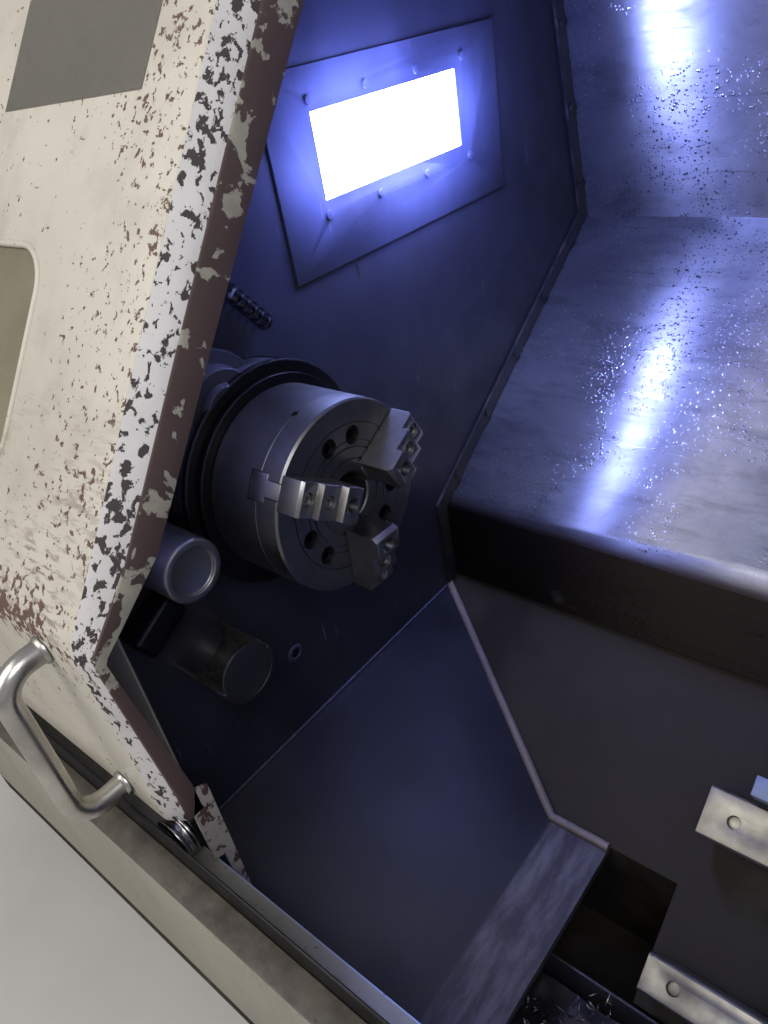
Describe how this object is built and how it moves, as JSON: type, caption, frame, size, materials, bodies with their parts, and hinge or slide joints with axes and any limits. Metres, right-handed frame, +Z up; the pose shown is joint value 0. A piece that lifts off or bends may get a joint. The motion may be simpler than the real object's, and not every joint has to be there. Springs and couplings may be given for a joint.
{
  "type": "cnc turning lathe",
  "caption": "Slant bed turning lathe with sliding guard door, three jaw power chuck, tool turret and tailstock.",
  "frame": {"origin": "on the floor under the middle of the outline", "axes": "+X from the headstock to the tailstock, +Y to the back, +Z up"},
  "size_m": [2.4, 1.5, 1.62],
  "materials": {
    "casting": "rough machine enamel",
    "steel": "ground",
    "black_steel": "black oxide",
    "blue_paint": "dark blue-grey enamel",
    "rubber": "matt",
    "lens": "clear",
    "plastic": "matt",
    "steel_sheet": "galvanised",
    "cream_paint": "worn cream paint",
    "stainless": "brushed",
    "window": "clear",
    "red_plastic": "gloss",
    "green_plastic": "gloss"
  },
  "bodies": {
    "machine": {"bed_casting": "casting", "carriage_way_front": "steel", "carriage_way_back": "steel", "tailstock_way_front": "steel", "tailstock_way_back": "steel", "headstock_casting": "casting", "nose_ring": "black_steel", "headstock_wall": "blue_paint", "right_wall": "blue_paint", "wiper_strip": "rubber", "light_plate": "blue_paint", "light_lens": "lens", "setter_hub": "steel", "setter_hood": "steel", "setter_bracket": "black_steel", "spindle_motor": "casting", "carriage_servo_motor": "plastic", "drive_belt": "rubber", "chip_pan": "steel_sheet", "coolant_tank": "blue_paint", "front_sill": "cream_paint", "door_rail": "rubber", "left_front_panel": "cream_paint", "right_front_panel": "cream_paint", "roof_panel": "cream_paint", "electrical_cabinet": "cream_paint", "console_housing": "plastic"},
    "spindle": {"spindle_shaft": "steel", "chuck_adapter_ring": "black_steel", "spindle_pulley": "casting", "chuck_body": "steel"},
    "motor_rotor": {"motor_pulley": "casting"},
    "jaw_1": {"master_jaw_1": "steel", "top_jaw_1": "steel"},
    "jaw_2": {"master_jaw_2": "steel", "top_jaw_2": "steel"},
    "jaw_3": {"master_jaw_3": "steel", "top_jaw_3": "steel"},
    "carriage": {"saddle": "casting", "way_cover": "stainless"},
    "cross_screw": {"cross_ball_screw": "steel"},
    "lead_screw": {"carriage_ball_screw": "steel"},
    "cross": {"cross_slide": "casting"},
    "turret": {"turret_disc": "steel"},
    "tailstock": {"tailstock_body": "casting"},
    "quill": {"quill": "steel"},
    "centre": {"live_centre": "steel"},
    "door": {"door_shell": "cream_paint", "door_window": "window", "door_handle": "stainless"},
    "roller_left": {"door_roller_left": "steel"},
    "roller_right": {"door_roller_right": "steel"},
    "stop_button": {"emergency_stop": "red_plastic"},
    "start_button": {"cycle_start": "green_plastic"},
    "hold_button": {"feed_hold": "red_plastic"},
    "wheel": {"hand_wheel": "plastic"},
    "back_door": {"cabinet_door": "cream_paint"}
  },
  "joints": [
    {"name": "spindle_spin", "type": "hinge", "parent": "machine", "child": "spindle", "pos_m": [-0.15, -0.36, 0.95], "axis": [1, 0, 0], "continuous": true},
    {"name": "motor_spin", "type": "hinge", "parent": "machine", "child": "motor_rotor", "pos_m": [-0.92, 0.05947, 0.75023], "axis": [1, 0, 0], "continuous": true},
    {"name": "jaw_1_slide", "type": "slide", "parent": "spindle", "child": "jaw_1", "axis": [0, -0.842, 0.5395], "range_m": [-0.0037, 0.0037]},
    {"name": "jaw_2_slide", "type": "slide", "parent": "spindle", "child": "jaw_2", "axis": [0, 0.8882, 0.4594], "range_m": [-0.0037, 0.0037]},
    {"name": "jaw_3_slide", "type": "slide", "parent": "spindle", "child": "jaw_3", "axis": [0, -0.0462, -0.9989], "range_m": [-0.0037, 0.0037]},
    {"name": "carriage_slide", "type": "slide", "parent": "machine", "child": "carriage", "axis": [1, 0, 0], "range_m": [-0.3, 0.08]},
    {"name": "lead_screw_turn", "type": "hinge", "parent": "machine", "child": "lead_screw", "pos_m": [0.15, 0.28427, 0.78414], "axis": [1, 0, 0], "range_deg": [-10800, 2880]},
    {"name": "cross_slide_travel", "type": "slide", "parent": "carriage", "child": "cross", "axis": [0, 0.8387, 0.5446], "range_m": [-0.19, 0]},
    {"name": "cross_screw_turn", "type": "hinge", "parent": "carriage", "child": "cross_screw", "pos_m": [0.52, 0.11381, 0.77121], "axis": [0, 0.8387, 0.5446], "range_deg": [-6840, 0]},
    {"name": "turret_index", "type": "hinge", "parent": "cross", "child": "turret", "pos_m": [0.23, -0.00776, 1.17875], "axis": [1, 0, 0], "continuous": true},
    {"name": "tailstock_slide", "type": "slide", "parent": "machine", "child": "tailstock", "axis": [1, 0, 0], "range_m": [-0.042, 0.12]},
    {"name": "quill_travel", "type": "slide", "parent": "tailstock", "child": "quill", "axis": [1, 0, 0], "range_m": [-0.08, 0]},
    {"name": "centre_spin", "type": "hinge", "parent": "quill", "child": "centre", "pos_m": [0.29, -0.36, 0.95], "axis": [1, 0, 0], "continuous": true},
    {"name": "door_travel", "type": "slide", "parent": "machine", "child": "door", "axis": [1, 0, 0], "range_m": [0, 0.788]},
    {"name": "roller_left_turn", "type": "hinge", "parent": "door", "child": "roller_left", "pos_m": [-1.068, -0.651, 0.6583], "axis": [0, 1, 0], "range_deg": [0, 1672.3]},
    {"name": "roller_right_turn", "type": "hinge", "parent": "door", "child": "roller_right", "pos_m": [-0.22, -0.651, 0.6583], "axis": [0, 1, 0], "range_deg": [0, 1672.3]},
    {"name": "stop_press", "type": "slide", "parent": "machine", "child": "stop_button", "axis": [0, 1, 0], "range_m": [0, 0.005], "stiffness_N_per_m": 600},
    {"name": "start_press", "type": "slide", "parent": "machine", "child": "start_button", "axis": [0, 1, 0], "range_m": [0, 0.0035], "stiffness_N_per_m": 400},
    {"name": "hold_press", "type": "slide", "parent": "machine", "child": "hold_button", "axis": [0, 1, 0], "range_m": [0, 0.0035], "stiffness_N_per_m": 400},
    {"name": "wheel_turn", "type": "hinge", "parent": "machine", "child": "wheel", "pos_m": [0.715, -0.71, 0.905], "axis": [0, -1, 0], "continuous": true},
    {"name": "back_door_swing", "type": "hinge", "parent": "machine", "child": "back_door", "pos_m": [-0.496, 0.733, 1], "axis": [0, 0, 1], "range_deg": [0, 110]}
  ],
  "couplings": [
    {"joint": "motor_spin", "follows": "spindle_spin", "ratio": 1.4286},
    {"joint": "jaw_2_slide", "follows": "jaw_1_slide", "ratio": 1},
    {"joint": "jaw_3_slide", "follows": "jaw_1_slide", "ratio": 1},
    {"joint": "lead_screw_turn", "follows": "carriage_slide", "rad_per_m": 628.32},
    {"joint": "cross_screw_turn", "follows": "cross_slide_travel", "rad_per_m": 628.32},
    {"joint": "roller_left_turn", "follows": "door_travel", "rad_per_m": 37.037},
    {"joint": "roller_right_turn", "follows": "door_travel", "rad_per_m": 37.037}
  ]
}
